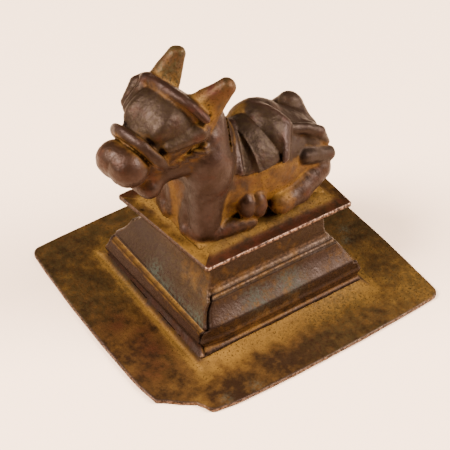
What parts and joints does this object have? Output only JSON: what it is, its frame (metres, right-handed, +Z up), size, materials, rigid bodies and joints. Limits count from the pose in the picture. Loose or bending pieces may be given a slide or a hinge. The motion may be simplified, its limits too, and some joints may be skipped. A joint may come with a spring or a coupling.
{
  "type": "nandi bull figure",
  "caption": "Small cast brass bull lying with folded legs and a saddle cloth, on a stepped moulded plinth with a wide thin base plate, one corner broken off.",
  "frame": {"origin": "middle of the underside of the base plate, on the surface that the figure stands on", "axes": "+Z up, the bull faces -Y, its left flank faces +X, the plate is longest along Y"},
  "size_m": [0.0794, 0.086, 0.0734],
  "materials": {
    "brass": "old cast brass with a brown patina, satin on the high places, golden in the hollows, bright copper where edges are worn"
  },
  "bodies": {
    "root": {"nandi_on_stepped_plinth": "brass"}
  },
  "joints": []
}
